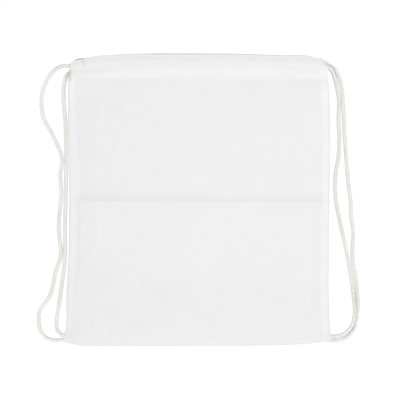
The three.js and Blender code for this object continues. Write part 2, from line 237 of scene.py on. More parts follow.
def soft_noise(x, y, cell_x, cell_y, seed):
    """Smooth random hills between -1 and 1, one about every cell."""
    table = np.random.default_rng(seed).uniform(-1, 1, (NOISE_CELLS, NOISE_CELLS))
    column, row = x / cell_x + NOISE_START[0], y / cell_y + NOISE_START[1]
    left, low = np.floor(column).astype(int), np.floor(row).astype(int)
    over, up = column - left, row - low
    over, up = over**2 * (3 - 2 * over), up**2 * (3 - 2 * up)

    def corner(dx, dy):
        return table[(left + dx) % NOISE_CELLS, (low + dy) % NOISE_CELLS]

    bottom = corner(0, 0) * (1 - over) + corner(1, 0) * over
    top = corner(0, 1) * (1 - over) + corner(1, 1) * over
    return bottom * (1 - up) + top * up


# %% Sweep a three-stranded section along a route
STRAND_RADIUS = 2.21 * MM
STRAND_OFFSET = 0.68 * MM
LAY_LENGTH = 15.0 * MM
LAY_WANDER, LAY_WANDER_CELL = 0.5, 0.05
PLUMPNESS, PLUMPNESS_CELL = 0.04, 0.018
CORD_STEP = 1.3 * MM
SECTION_POINTS = 24
# How much a cord is pressed, how far out that ends and over what run it fades, and the height up the bag.
PRESSED_IN_HEM, HEM_END, HEM_END_FADE, HEM_ABOVE = 0.12, 182, 8, 170 * MM
PRESSED_IN_SEAM, SEAM_END, SEAM_END_FADE, SEAM_BELOW = 0.45, 191, 5, -185 * MM


def strand_section(angle):
    """Distance from the middle of the cord to the outside of its nearest strand."""
    third = 2 * np.pi / 3
    off = (angle + third / 2) % third - third / 2
    across = STRAND_OFFSET * np.sin(off)
    return STRAND_OFFSET * np.cos(off) + np.sqrt(STRAND_RADIUS**2 - across**2)


def carried_frames(line):
    """A sideways direction at each point that turns no more than the line does."""
    along = np.gradient(line, axis=0)
    along /= np.linalg.norm(along, axis=1)[:, None]
    side = np.empty_like(line)
    side[0] = np.cross(along[0], (0, 0, 1))
    for index in range(1, len(line)):
        kept = side[index - 1] - along[index] * (side[index - 1] @ along[index])
        side[index] = kept / np.linalg.norm(kept)
    return side, np.cross(along, side)


def grid_faces(rows, columns, wrap):
    """Corner numbers of the four-sided faces of a net, closed round its columns where wrap is true."""
    row, column = np.mgrid[0 : rows - 1, 0 : columns if wrap else columns - 1]
    here, after = row * columns + column, row * columns + (column + 1) % columns
    return np.stack([here, after, after + columns, here + columns], axis=-1).reshape(-1, 4)


def pressed_share(line):
    """How much thinner a cord is where the hem holds it, and where its ends are sewn into the seam."""
    reach = np.abs(line[:, 0]) / MM
    in_hem = np.clip((HEM_END - reach) / HEM_END_FADE, 0, 1) * (line[:, 1] > HEM_ABOVE)
    in_seam = np.clip((SEAM_END - reach) / SEAM_END_FADE, 0, 1) * (line[:, 1] < SEAM_BELOW)
    return PRESSED_IN_HEM * in_hem + PRESSED_IN_SEAM * in_seam


def new_piece(name, points, faces):
    mesh = bpy.data.meshes.new(name)
    mesh.from_pydata(points.tolist(), [], faces)
    piece = bpy.data.objects.new(name, mesh)
    scene.collection.objects.link(piece)
    return piece


def twisted_cord(name, route, seed):
    line, run = even_steps(smooth_route(route), CORD_STEP)
    side, up = carried_frames(line)
    section = np.arange(SECTION_POINTS) * 2 * np.pi / SECTION_POINTS
    wander = LAY_WANDER * soft_noise(run, 0 * run, LAY_WANDER_CELL, 1, seed)
    turn = section[None, :] + (2 * np.pi * run / LAY_LENGTH + wander)[:, None]
    plump = 1 + PLUMPNESS * soft_noise(run, 0 * run, PLUMPNESS_CELL, 1, seed + 1) - pressed_share(line)
    reach = strand_section(section)[None, :] * plump[:, None]
    rings = line[:, None] + reach[..., None] * (
        np.cos(turn)[..., None] * side[:, None] + np.sin(turn)[..., None] * up[:, None]
    )
    points = np.vstack([rings.reshape(-1, 3), line[:1], line[-1:]])
    faces = grid_faces(len(line), SECTION_POINTS, True).tolist()
    last = (len(line) - 1) * SECTION_POINTS
    for k in range(SECTION_POINTS):
        after = (k + 1) % SECTION_POINTS
        faces.append([len(points) - 2, after, k])
        faces.append([len(points) - 1, last + k, last + after])
    cord = new_piece(name, points, faces)
    cord.data.shade_smooth()
    lay_map(cord.data, run)
    return cord, line, run[-1]


def lay_map(mesh, run):
    """A map of the cord's surface: turns round it across, metres along it up."""
    corners = np.empty(len(mesh.loops), dtype=np.int32)
    mesh.loops.foreach_get("vertex_index", corners)
    ring, place = np.divmod(corners, SECTION_POINTS)
    ring = np.minimum(ring, len(run) - 1)
    across = place / SECTION_POINTS
    # The last face of each ring closes it, so that face ends at a whole turn and not at none.
    quads = np.arange(len(corners)) < 4 * (len(run) - 1) * SECTION_POINTS
    wrapped = quads & (place == 0) & np.isin(np.arange(len(corners)) % 4, (1, 2))
    across[wrapped] = 1.0
    layer = mesh.uv_layers.new(name="lay")
    layer.data.foreach_set("uv", np.column_stack([across, run[ring]]).ravel())


left_rope, left_line, left_length = twisted_cord("left_rope", LEFT_ROUTE, seed=11)
right_rope, right_line, right_length = twisted_cord("right_rope", RIGHT_ROUTE, seed=23)
print("cord lengths:", round(left_length, 3), "and", round(right_length, 3), "m")

# %% Attach the cords and hide their solids
# Each line starts inside the seam.
for rope, line, length, solid in (
    (left_rope, left_line, left_length, "left_cord"),
    (right_rope, right_line, right_length, "right_cord"),
):
    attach(rope, "root")
    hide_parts(solid)
    print(rope.name, len(rope.data.polygons), "faces")

# %% [markdown]
# ## Cotton, as a finish
# Cotton is matt, slightly uneven in tone, and hairy. Cloth, cord, thread and label share that, so it is a
# node group that is built once: it gives a height for bumps and a tone for the colour. A second group
# draws a plain weave, one thread over and one under. Each material then places them with its own values.

# %% Helpers for node groups
def node_group(name, inputs, outputs):
    group = bpy.data.node_groups.new(name, "ShaderNodeTree")
    for title, kind, value in inputs:
        socket = group.interface.new_socket(name=title, in_out="INPUT", socket_type=kind)
        if value is not None:
            socket.default_value = value
    for title in outputs:
        group.interface.new_socket(name=title, in_out="OUTPUT", socket_type="NodeSocketFloat")
    return group, group.nodes.new("NodeGroupInput"), group.nodes.new("NodeGroupOutput")


def calculate(tree, operation, first, second=0.0):
    return add_node(tree, "Math", 0, {0: first, 1: second}, operation=operation)


def stretched_noise(tree, vector, stretch, detail):
    scaled = add_node(tree, "VectorMath", "Vector", {0: vector, 1: stretch}, operation="MULTIPLY")
    return add_node(tree, "TexNoise", "Fac", {"Vector": scaled, "Scale": 1.0, "Detail": detail})


# %% Two groups: cotton fibre and plain weave
PATCHES_PER_METRE, PATCH_SHARE = 38, 0.6
HAIRS_PER_METRE, HAIR_SHARE = 900, 0.4
SLUBS_ACROSS, SLUBS_ALONG = 1500, 60


def cotton_fibre_group():
    group, start, end = node_group(
        "cotton_fibre", [("Vector", "NodeSocketVector", None)], ["Tone", "Height"]
    )
    patches = stretched_noise(group, start.outputs["Vector"], (PATCHES_PER_METRE,) * 3, 2.0)
    hairs = stretched_noise(group, start.outputs["Vector"], (HAIRS_PER_METRE,) * 3, 5.0)
    broad = calculate(group, "MULTIPLY", patches, PATCH_SHARE)
    fine = calculate(group, "MULTIPLY", hairs, HAIR_SHARE)
    plug(group, calculate(group, "ADD", broad, fine), end.inputs["Tone"])
    plug(group, hairs, end.inputs["Height"])
    return group


def plain_weave_group():
    group, start, end = node_group(
        "plain_weave",
        [("Vector", "NodeSocketVector", None), ("Threads per metre", "NodeSocketFloat", 2000.0)],
        ["Height", "Slubs"],
    )
    parts = group.nodes.new("ShaderNodeSeparateXYZ")
    plug(group, start.outputs["Vector"], parts.inputs[0])
    waves = []
    for axis in ("X", "Y"):
        turns = calculate(group, "MULTIPLY", parts.outputs[axis], start.outputs["Threads per metre"])
        waves.append(calculate(group, "SINE", calculate(group, "MULTIPLY", turns, math.pi)))
    over = calculate(group, "MULTIPLY", calculate(group, "MULTIPLY", *waves), 0.5)
    crowns = [calculate(group, "ABSOLUTE", wave) for wave in waves]
    warp = calculate(group, "MULTIPLY", crowns[0], calculate(group, "ADD", 0.5, over))
    weft = calculate(group, "MULTIPLY", crowns[1], calculate(group, "SUBTRACT", 0.5, over))
    plug(group, calculate(group, "MAXIMUM", warp, weft), end.inputs["Height"])
    upright = stretched_noise(group, start.outputs["Vector"], (SLUBS_ACROSS, SLUBS_ALONG, 1), 2.0)
    level = stretched_noise(group, start.outputs["Vector"], (SLUBS_ALONG, SLUBS_ACROSS, 1), 2.0)
    both = calculate(group, "ADD", upright, level)
    plug(group, calculate(group, "MULTIPLY", both, 0.5), end.inputs["Slubs"])
    return group


cotton_fibre = cotton_fibre_group()
plain_weave = plain_weave_group()
print("node groups:", cotton_fibre.name, plain_weave.name)

# %% Helpers for materials
# What the noises cover: the wider range for a gentle change, the narrower one for a strong change.
GENTLE, STRONG = (0.3, 0.7), (0.35, 0.65)


def place_group(tree, group, inputs):
    node = tree.nodes.new("ShaderNodeGroup")
    node.node_tree = group
    fill(tree, node, inputs)
    return node


def blend_colours(tree, share, first, second):
    return add_node(tree, "Mix", "Result", {"Factor": share, "A": first, "B": second}, data_type="RGBA")


def bump(tree, height, distance, below=None):
    inputs = {"Distance": distance, "Height": height}
    if below is not None:
        inputs["Normal"] = below
    return add_node(tree, "Bump", "Normal", inputs)


def own_map(tree, name):
    return add_node(tree, "UVMap", "UV", {}, uv_map=name)


def cotton_material(name, rough, specular, sheen=(0.0, 0.5)):
    """A material with the cotton fibre placed in it, which also sets how rough the surface is."""
    material, shader = shader_material(name)
    tree = material.node_tree
    place = add_node(tree, "TexCoord", "Object", {})
    fibre = place_group(tree, cotton_fibre, {"Vector": place})
    fill(tree, shader, {
        "Roughness": spread(tree, fibre.outputs["Tone"], *GENTLE, *rough),
        "Specular IOR Level": specular, "Sheen Weight": sheen[0], "Sheen Roughness": sheen[1],
    })
    return tree, material, shader, place, fibre


# %% Twisted cotton cord
YARNS_ROUND = 27.0
CORD_CREAM = ((0.83, 0.82, 0.78, 1), (0.92, 0.912, 0.878, 1))
# Painted shade in the grooves between the yarns: its colour and its largest share.
PAINTED_GROOVE_SHADE, GROOVE_SHADE_SHARE = (0.62, 0.60, 0.53, 1), 0.16
CORD_HAIR_DEPTH, YARN_DEPTH = 0.1 * MM, 0.06 * MM


def cord_material():
    tree, material, shader, _, fibre = cotton_material(
        "cream_cord", rough=(0.86, 0.98), specular=0.15, sheen=(0.05, 0.6)
    )
    parts = tree.nodes.new("ShaderNodeSeparateXYZ")
    plug(tree, own_map(tree, "lay"), parts.inputs[0])
    along = calculate(tree, "DIVIDE", parts.outputs["Y"], 2 * LAY_LENGTH)
    turned = calculate(tree, "ADD", parts.outputs["X"], along)
    yarns = calculate(tree, "SINE", calculate(tree, "MULTIPLY", turned, 2 * math.pi * YARNS_ROUND))
    tone = spread(tree, fibre.outputs["Tone"], *STRONG, 0.0, 1.0)
    cream = blend_colours(tree, tone, *CORD_CREAM)
    # Painted shade: the cord is darker between its yarns.
    shade = spread(tree, yarns, -1.0, 1.0, GROOVE_SHADE_SHARE, 0.0)
    plug(tree, blend_colours(tree, shade, cream, PAINTED_GROOVE_SHADE), shader.inputs["Base Color"])
    hairs = bump(tree, fibre.outputs["Height"], CORD_HAIR_DEPTH)
    plug(tree, bump(tree, yarns, YARN_DEPTH, hairs), shader.inputs["Normal"])
    return material


cream_cord = cord_material()
for rope in (left_rope, right_rope):
    rope.data.materials.append(cream_cord)
print("cord finish:", cream_cord.name)

# %% [markdown]
# ## The bag's cloth
# The bag is one cloth: up the front, over the top edge into the hem, and the same at the back. It isn't
# flat: air and the hem hold it a little open, a crease runs across where it was folded in half, and the
# seams pucker. We lay a net of points over the outline, lift each point by a few simple rules, and close
# the net at the fold and the side seams. A simulation would move the hem off the cords, so the folds are
# set by rules and sculpted with soft noise.

# %% Outline of the lying bag, in millimetres
SIDES = [
    (-203.0, -190.2, 189.6), (-193.7, -189.6, 189.2), (-183.0, -187.6, 188.2), (-142.6, -187.0, 186.4),
    (-85.8, -184.2, 186.4), (-0.6, -182.8, 187.0), (127.2, -184.2, 187.8), (169.8, -183.8, 185.4),
    (192.6, -180.7, 183.5),
]
MOUTH_EDGE = [
    (-180.7, 194.0), (-172.9, 199.7), (-161.5, 201.5), (-138.8, 204.2), (-82.0, 207.6), (3.2, 207.9),
    (60.0, 207.3), (116.8, 205.3), (162.0, 203.5), (170.0, 201.1), (177.5, 200.0), (181.2, 197.4),
    (183.5, 195.2),
]
FOOT_EDGE = [
    (-190.2, -203.2), (-181.4, -205.0), (-167.0, -207.5), (-138.8, -208.2), (3.0, -207.9), (88.4, -207.5),
    (145.2, -205.9), (173.6, -203.3), (189.2, -202.2),
]


def smooth_table(rows, column):
    """A smooth curve through one column of a table, level beyond its ends."""
    places = np.array([row[0] for row in rows])
    values = np.array([row[column] for row in rows])
    slopes = np.gradient(values, places)

    def read(at):
        at = np.clip(at, places[0], places[-1])
        span = np.clip(np.searchsorted(places, at) - 1, 0, len(places) - 2)
        width = places[span + 1] - places[span]
        share = (at - places[span]) / width
        rest = 1 - share
        start = values[span] * (1 + 2 * share) + slopes[span] * width * share
        stop = values[span + 1] * (1 + 2 * rest) - slopes[span + 1] * width * rest
        return start * rest**2 + stop * share**2

    return read


left_edge = smooth_table(SIDES, 1)
right_edge = smooth_table(SIDES, 2)
mouth_edge = smooth_table(MOUTH_EDGE, 1)
foot_edge = smooth_table(FOOT_EDGE, 1)
print("bag width at the middle:", round(float(right_edge(0.0) - left_edge(0.0)), 1), "mm")

# %% Heights of the lying cloth, in millimetres
EDGE_HEIGHT = 5.0
BODY_HEIGHT = 14.6
FOOT_HEIGHT = 10.0
SIDE_RUN = 45.0
FOOT_RUN = 40.0
STITCH_DEPTH = 36.0
HEM_LINE_Y, HEM_LINE_SLOPE = 171.1, -0.0065
CHANNEL_SHOULDER = 27.0
HEM_RISE = 6.6
LANE_RISE = 0.35
LIP_ROUND = 3.8
CORD_SLIT, SLIT_FADE = (-206.0, -189.0), 4.0
# Depths below the mouth edge between which the sides close, and between which they start to swell.
SIDES_CLOSE, SIDES_SWELL = (36, 42), (38, 72)


def ease(value, none, full):
    """Goes smoothly from nothing to one. Where none is the larger number, it goes the other way."""
    share = np.clip((value - none) / (full - none), 0, 1)
    return share**2 * (3 - 2 * share)


def window(value, low, high, fade):
    """One between low and high, with a smooth fade inside either end."""
    return ease(value, low, low + fade) * ease(value, high, high - fade)


def bell(distance, width):
    return np.exp(-((distance / width) ** 2))


def swell(distance, run):
    return np.sin(np.pi / 2 * np.clip(distance / run, 0, 1))


def quarter_round(distance, radius):
    outside = 1 - np.clip(distance / radius, 0, 1)
    return np.sqrt(1 - outside**2)


def hem_line(x):
    """The stitch line runs straight across, although the mouth edge bends down to the corners."""
    return HEM_LINE_Y + HEM_LINE_SLOPE * x


def hem_scale(x):
    return (mouth_edge(x) - hem_line(x)) / STITCH_DEPTH


def mouth_inset(x, y):
    """Depth below the mouth edge, counted so that the stitch line has the same depth all across."""
    line = hem_line(x)
    return np.where(y > line, (mouth_edge(x) - y) / hem_scale(x), STITCH_DEPTH + line - y)


def at_mouth_inset(x, inset):
    in_hem = mouth_edge(x) - inset * hem_scale(x)
    return np.where(inset < STITCH_DEPTH, in_hem, hem_line(x) + STITCH_DEPTH - inset)


def insets(x, y):
    """How far a point lies below the mouth edge, inside the nearer side and above the bottom fold."""
    return mouth_inset(x, y), np.minimum(x - left_edge(y), right_edge(y) - x), y - foot_edge(x)


def body_half(mouth, side, foot):
    """Half the height of the body, which swells from the side edges and from the bottom fold."""
    from_side = 1 + (swell(side, SIDE_RUN) - 1) * ease(mouth, *SIDES_SWELL)
    foot_share = (FOOT_HEIGHT - EDGE_HEIGHT) / (BODY_HEIGHT - EDGE_HEIGHT)
    from_foot = foot_share + (1 - foot_share) * swell(foot, FOOT_RUN)
    return (EDGE_HEIGHT + (BODY_HEIGHT - EDGE_HEIGHT) * from_side * from_foot) / 2


def closed_edges(y, mouth, side, foot):
    """Nothing at a closed edge, one away from it. The hem's ends and the slits for the cords stay open."""
    closed = ease(mouth, *SIDES_CLOSE) * (1 - window(y, *CORD_SLIT, SLIT_FADE))
    at_side = 1 + (quarter_round(side, EDGE_HEIGHT / 2) - 1) * closed
    return np.minimum(at_side, quarter_round(foot, FOOT_HEIGHT / 2))


def lip_drop(mouth):
    return LIP_ROUND * (1 - quarter_round(mouth, LIP_ROUND))


# %% Folds and puckers of the front, in millimetres
# Each ridge is a line from one point to another, with its rise and how far it reaches to either side.
RIDGES = [
    ("gather at the left end of the hem", -160.8, 201, -160.6, 190, 1.3, 4),
    ("upper wrinkle at the right end of the hem", 162, 196.5, 172, 200, 0.9, 3.5),
    ("lower wrinkle at the right end of the hem", 163, 193.5, 175, 196.5, 0.6, 3),
    ("slack fold under the right end of the hem", 133, 169, 172, 154, 0.8, 12),
    ("cord end in the left corner", -190, -197, -177, -196.5, 1.5, 9),
    ("cord end in the right corner", 190, -197.5, 177, -197, 1.5, 9),
    ("tuck in the left seam", -178, -90, -166, -81, -0.9, 4),
]
# Painted shade in sharp little creases, which look dark: a line from one point to another, its width and how
# dark it is.
CREASE_SHADE_MARKS = [
    ("first crease of the left gather", -162.4, 202, -162.0, 195, 0.9, 6.0),
    ("second crease of the left gather", -159.4, 194.5, -159.2, 188.5, 0.9, 3.0),
    ("foot of the left gather", -159.4, 188, -163.6, 184.4, 1.0, 2.0),
    ("pinch at the left end of the hem", -175.2, 195.2, -172.6, 194.6, 0.9, 2.4),
    ("tuck in the left seam", -174.3, -87.2, -165.8, -80.1, 0.8, 3.0),
    ("upper wrinkle at the right end of the hem", 166, 198.0, 173, 200.0, 0.8, 1.6),
    ("lower wrinkle at the right end of the hem", 163, 194.6, 179, 194.0, 0.8, 1.7),
    ("outer wrinkle at the right end of the hem", 139, 198.8, 150.5, 195.8, 0.9, 1.2),
    ("slack fold under the right end of the hem", 138, 168, 176, 155, 5.0, 0.45),
    ("left end of the crease", -160, -1.6, -120, -1.9, 1.2, 0.5),
]
# The cloth climbs to the crease from above, most of all close to it, and falls away gently below it.
# The crease slants a little: its right end lies lower than its left end.
CREASE_Y, CREASE_SLOPE = -3.0, -0.0065
CREASE_ENDS, CREASE_FADE = (-174.0, 182.0), 8.0
CREASE_RISE, CREASE_CLIMB = 3.4, 17.5
CREST_RISE, CREST_CLIMB = 0.5, 5.0
CREASE_FALL = 120.0
# The part of the label that shows: left, right, bottom and top.
LABEL = (148.0, 176.5, 92.4, 110.9)
LABEL_RISE, ALLOWANCE_RISE = 0.4, 0.45
LEFT_ALLOWANCE = [(-190, 9), (-114, 11), (14, 16), (80, 14), (141, 11)]
RIGHT_ALLOWANCE_WIDTH = 12.5
# Puckers by the stitches and by the seams: wave lengths and how far they reach, then what they share.
PUCKER_WAVES, PUCKER_REACHES = (13, 15), (7, 10)
PUCKER_RISE, PUCKER_WANDER, WANDER_CELL = 0.22, 3, 40
STITCH_SINK, STITCH_SINK_WIDTH = 0.3, 1.6
# Slack hills: rise, size across and along the bag, and seed.
SLACK_HILLS = [(0.9, 95, 70, 1), (0.35, 34, 30, 2), (0.1, 11, 11, 3)]
HEM_STREAKS = (0.22, 34, 3.2, 4)
# Depths below the mouth edge between which each of these comes or goes.
ALLOWANCE_COMES, SEAM_PUCKERS_COME = (34, 38), (30, 44)
SLACK_COMES, STREAKS_GO = (20, 60), (18, 10)
left_allowance_width = smooth_table(LEFT_ALLOWANCE, 1)


def from_line(x, y, x0, y0, x1, y1):
    """Distance of each point from a line with two ends."""
    along = ((x - x0) * (x1 - x0) + (y - y0) * (y1 - y0)) / ((x1 - x0) ** 2 + (y1 - y0) ** 2)
    along = np.clip(along, 0, 1)
    return np.hypot(x - x0 - along * (x1 - x0), y - y0 - along * (y1 - y0))


def ridge_height(x, y):
    height = np.zeros_like(x)
    for _, x0, y0, x1, y1, rise, reach in RIDGES:
        height += rise * np.clip(1 - from_line(x, y, x0, y0, x1, y1) / reach, 0, 1) ** 2
    return height


def crease_line(x):
    return CREASE_Y + CREASE_SLOPE * x


def crease_height(x, y):
    over = y - crease_line(x)
    climb = CREASE_RISE * np.clip(1 - over / CREASE_CLIMB, 0, 1) ** 2
    crest = CREST_RISE * np.clip(1 - over / CREST_CLIMB, 0, 1) ** 2
    fall = (CREASE_RISE + CREST_RISE) * ease(over, -CREASE_FALL, 0)
    return np.where(over > 0, climb + crest, fall) * window(x, *CREASE_ENDS, CREASE_FADE)


def label_share(x, y, soft):
    left, right, bottom, top = LABEL
    across = window(x, left - soft, right + 2 * soft, 2 * soft)
    return across * window(y, bottom - soft, top + soft, 2 * soft)


def past_allowance(x, y, side):
    """How far a point lies inside the raw edge of the seam allowance."""
    return side - np.where(x < 0, left_allowance_width(y), RIGHT_ALLOWANCE_WIDTH)


def allowance_share(x, y, mouth, side, soft):
    return ease(past_allowance(x, y, side), soft, -soft) * ease(mouth, *ALLOWANCE_COMES)


def pucker_height(x, y, mouth, side):
    """Small waves along the stitches and the side seams, and the furrow that the stitches pull in."""
    from_stitches = mouth - STITCH_DEPTH
    by_stitches = np.exp(-np.abs(from_stitches) / PUCKER_REACHES[0])
    by_seam = np.exp(-side / PUCKER_REACHES[1]) * ease(mouth, *SEAM_PUCKERS_COME)
    waves = []
    for place, length, seed in zip((x, y), PUCKER_WAVES, (5, 6)):
        wander = PUCKER_WANDER * soft_noise(x, y, WANDER_CELL, WANDER_CELL, seed)
        waves.append(np.sin(2 * np.pi * place / length + wander))
    puckers = PUCKER_RISE * (waves[0] * by_stitches + waves[1] * by_seam)
    return puckers - STITCH_SINK * bell(from_stitches, STITCH_SINK_WIDTH)


def drape_height(x, y, mouth):
    """Broad slack hills in the body, and long fine streaks along the roll of the hem."""
    slack = sum(rise * soft_noise(x, y, *cells_and_seed) for rise, *cells_and_seed in SLACK_HILLS)
    rise, *cells_and_seed = HEM_STREAKS
    streaks = rise * soft_noise(x, y, *cells_and_seed)
    return slack * ease(mouth, *SLACK_COMES) + streaks * ease(mouth, *STREAKS_GO)


def front_relief(x, y, mouth, side):
    """All that rises above the plain body: folds, the layers below, puckers and slack."""
    layers = LABEL_RISE * label_share(x, y, 0.9) + ALLOWANCE_RISE * allowance_share(x, y, mouth, side, 1.0)
    folds = ridge_height(x, y) + crease_height(x, y)
    return folds + layers + pucker_height(x, y, mouth, side) + drape_height(x, y, mouth)


# %% The surfaces of the cloth: front, back, and the lining of the hem
LINING_DEPTH = 38.0
LINING_HEIGHTS = {"front": 13.6, "back": 7.6}
LINING_SINK = 6.0
MOUTH_HALF_WIDTH = 163.0
MOUTH_MIDDLE = 10.6
MOUTH_END_ROUND, MOUTH_END_BLEND = 5.0, 13.0
ROLL_DROP, ROLL_DEPTH = 3.0, 12.0
FRONT_LANE_ABOVE = 16.8 * MM
LANE_WIDTH = 3.4
# Where the front of the hem stays up longer on its way to the stitches: towards its two ends.
LEFT_SHOULDER, RIGHT_SHOULDER = (-95, -140), (105, 150)
SHOULDER_ABOVE_LANE, SHOULDER_LONGER, SHOULDER_LIMITS = 4, 6, (12, 29)
# The ends of the hem: how far each droops, over what run, and between which heights this sets in.
END_SAG, END_SAG_RUN = 1.4, 14.0
LEFT_DROOP, LEFT_DROOP_RUN, BELOW_LEFT_CORD = 10.5, 5.0, (187, 183)
RIGHT_DROOP, RIGHT_DROOP_RUN, ABOVE_RIGHT_CORD = 6.8, 6.5, (190, 194)
# Depths below the mouth edge between which each of these comes or goes, and where the hem's fall ends.
RELIEF_COMES, STEP_GOES, DROOP_GOES = (0, 5), (34, 4), (42, 32)
LANES_COME, LANES_GO = (0, 4), (37, 30)
HEM_FALL_ENDS = 38
# How far the front edge of the mouth lies below the back edge.
MOUTH_STEP = [
    (-181, 0.9), (-172, 2.6), (-163, 2.1), (-157, 1.2), (-110, 1.2), (-78, 1.1), (-70, 1.2), (-64, 1.7),
    (-40, 1.6), (20, 1.65), (75, 1.5), (130, 1.3), (165, 1.1), (183, 0.4),
]
mouth_step = smooth_table(MOUTH_STEP, 1)


def front_shift(x, mouth):
    return mouth_step(x) * ease(mouth, *STEP_GOES)


def lip_shift(x, mouth):
    """The same for the inside of the hem, which has to meet the back where the mouth ends."""
    along = front_shift(x, mouth)
    at_end = mouth_step(x) * np.clip(1 - mouth / LIP_ROUND, 0, 1)
    near_end = ease(np.abs(x), MOUTH_HALF_WIDTH - MOUTH_END_BLEND, MOUTH_HALF_WIDTH)
    return along + (at_end - along) * near_end


def front_lane(line):
    """The places of a cord where it runs through the front hem, from left to right, in millimetres."""
    lane = line[line[:, 2] > FRONT_LANE_ABOVE] / MM
    return lane[np.argsort(lane[:, 0])]


upper_lane, lower_lane = front_lane(left_line), front_lane(right_line)


def lane_bumps(x, y):
    """The cloth lies on the two cords in the hem and sinks a little between them."""
    bumps = np.zeros_like(x)
    for lane in (upper_lane, lower_lane):
        away = y - np.interp(x, lane[:, 0], lane[:, 1])
        bumps += LANE_RISE * bell(away, LANE_WIDTH)
    return bumps


def hem_lift(x, mouth):
    """The front of the hem stands on its cords and falls from the lower one to the stitch line."""
    lane_y = np.interp(x, lower_lane[:, 0], lower_lane[:, 1])
    near_end = ease(x, *LEFT_SHOULDER) + ease(x, *RIGHT_SHOULDER)
    shoulder = mouth_inset(x, lane_y) - SHOULDER_ABOVE_LANE + SHOULDER_LONGER * near_end
    return HEM_RISE * ease(mouth, HEM_FALL_ENDS, np.clip(shoulder, *SHOULDER_LIMITS))


def end_droop(x, y, side):
    """The ends of the hem droop, most of all below the left cord's exit and above the right cord's exit."""
    sag = END_SAG * (1 - swell(side, END_SAG_RUN))
    below_cord = ease(y, *BELOW_LEFT_CORD)
    above_cord = ease(y, *ABOVE_RIGHT_CORD)
    left = sag * below_cord + LEFT_DROOP * below_cord * (1 - swell(side, LEFT_DROOP_RUN))
    right = sag + RIGHT_DROOP * above_cord * (1 - swell(side, RIGHT_DROOP_RUN))
    return np.where(x < 0, left, right)


def front_height(x, y):
    mouth, side, foot = insets(x, y)
    half = body_half(mouth, side, foot)
    settled = closed_edges(y, mouth, side, foot)
    relief = front_relief(x, y, mouth, side) * ease(mouth, *RELIEF_COMES)
    lanes = lane_bumps(x, y) * ease(mouth, *LANES_COME) * ease(mouth, *LANES_GO)
    roll = ROLL_DROP * np.clip(1 - mouth / ROLL_DEPTH, 0, 1) ** 2
    droop = end_droop(x, y, side) * ease(mouth, *DROOP_GOES)
    fall = (roll + droop) * ease(mouth, 0, LIP_ROUND)
    return half + (half + relief) * settled + hem_lift(x, mouth) - lip_drop(mouth) + lanes - fall


def back_height(x, y):
    mouth, side, foot = insets(x, y)
    half = body_half(mouth, side, foot)
    return half - half * closed_edges(y, mouth, side, foot) + lip_drop(mouth)


def lining_height(which, x, mouth):
    """The inside of the hem, which closes to a seam at either end of the mouth."""
    if which == "front":
        open_height = LINING_HEIGHTS[which] + lip_drop(mouth)
    else:
        sink = LINING_SINK * ease(mouth, CHANNEL_SHOULDER, STITCH_DEPTH)
        open_height = LINING_HEIGHTS[which] - lip_drop(mouth) - sink
    reach = quarter_round(MOUTH_HALF_WIDTH - np.abs(x), MOUTH_END_ROUND)
    seam_height = MOUTH_MIDDLE + (open_height - MOUTH_MIDDLE) * reach
    return open_height + (seam_height - open_height) * ease(mouth, 0, LIP_ROUND)


# %% The net: columns across the bag and rows up it
SIDE_SHARES = [0, 0.015, 0.045, 0.09, 0.14, 0.2, 0.29, 0.39, 0.49, 0.57, 0.64, 0.72, 0.81, 0.9]
NEAR_MOUTH_END = [163, 162.4, 161.4, 160, 158.2, 156]
MIDDLE_COLUMNS = np.linspace(-153, 153, 103)
FOOT_ROWS = [0, 0.3, 0.9, 1.8, 2.8, 4, 5.5, 7.5, 10, 13, 16, 19, 22, 25, 28, 31, 34, 37, 40, 43, 46]
MOUTH_ROWS = [
    76, 73, 70, 67, 64, 61, 58, 55, 52, 49, 46.5, 44, 42, 40.5, 39, 38, 37, 36, 35, 34, 32.5, 30.5, 28,
    25.5, 23, 20.5, 18, 15.5, 13, 11, 9, 7, 5.2, 3.8, 2.6, 1.6, 0.8, 0.25, 0,
]
ROWS_BELOW_CREASE = np.linspace(-152, -9, 46)
CREASE_ROWS = [-3.6, -2.4, -1.5, -0.8, -0.3, 0, 0.5, 1.2, 2.2, 3.6]
ROWS_ABOVE_CREASE = np.linspace(3, 127, 40)
SIDE_GUESS, NET_PASSES = 185.0, 4
fixed_columns = np.array([-x for x in NEAR_MOUTH_END] + MIDDLE_COLUMNS.tolist() + NEAR_MOUTH_END[::-1])
column_count = len(fixed_columns) + 2 * len(SIDE_SHARES)
row_count = sum(
    len(rows) for rows in (FOOT_ROWS, ROWS_BELOW_CREASE, CREASE_ROWS, ROWS_ABOVE_CREASE, MOUTH_ROWS)
)
print("net of", column_count, "columns and", row_count, "rows")


def row_places(x):
    """The y of every row at every x: along the fold below, the crease between and the mouth edge above."""
    low = [foot_edge(x) + inset for inset in FOOT_ROWS]
    below_crease = [np.full_like(x, y) for y in ROWS_BELOW_CREASE]
    at_crease = [crease_line(x) + offset for offset in CREASE_ROWS]
    above_crease = [np.full_like(x, y) for y in ROWS_ABOVE_CREASE]
    high = [at_mouth_inset(x, inset) for inset in MOUTH_ROWS]
    return np.array(low + below_crease + at_crease + above_crease + high)


def net_places():
    """The x and y of every crossing, found in a few passes because the edges are curved."""
    shares = np.array(SIDE_SHARES)
    left_guess = -SIDE_GUESS + (SIDE_GUESS - MOUTH_HALF_WIDTH) * shares
    x = np.tile(np.concatenate([left_guess, fixed_columns, -left_guess[::-1]]), (row_count, 1))
    for _ in range(NET_PASSES):
        y = np.column_stack([row_places(column).diagonal() for column in x.T])
        left, right = left_edge(y[:, :1]), right_edge(y[:, -1:])
        x[:, : len(shares)] = left + (-MOUTH_HALF_WIDTH - left) * shares
        x[:, -len(shares):] = right + (MOUTH_HALF_WIDTH - right) * shares[::-1]
    return x, y


net_x, net_y = net_places()
print("net spans", net_x.min().round(1), "to", net_x.max().round(1), "mm across")

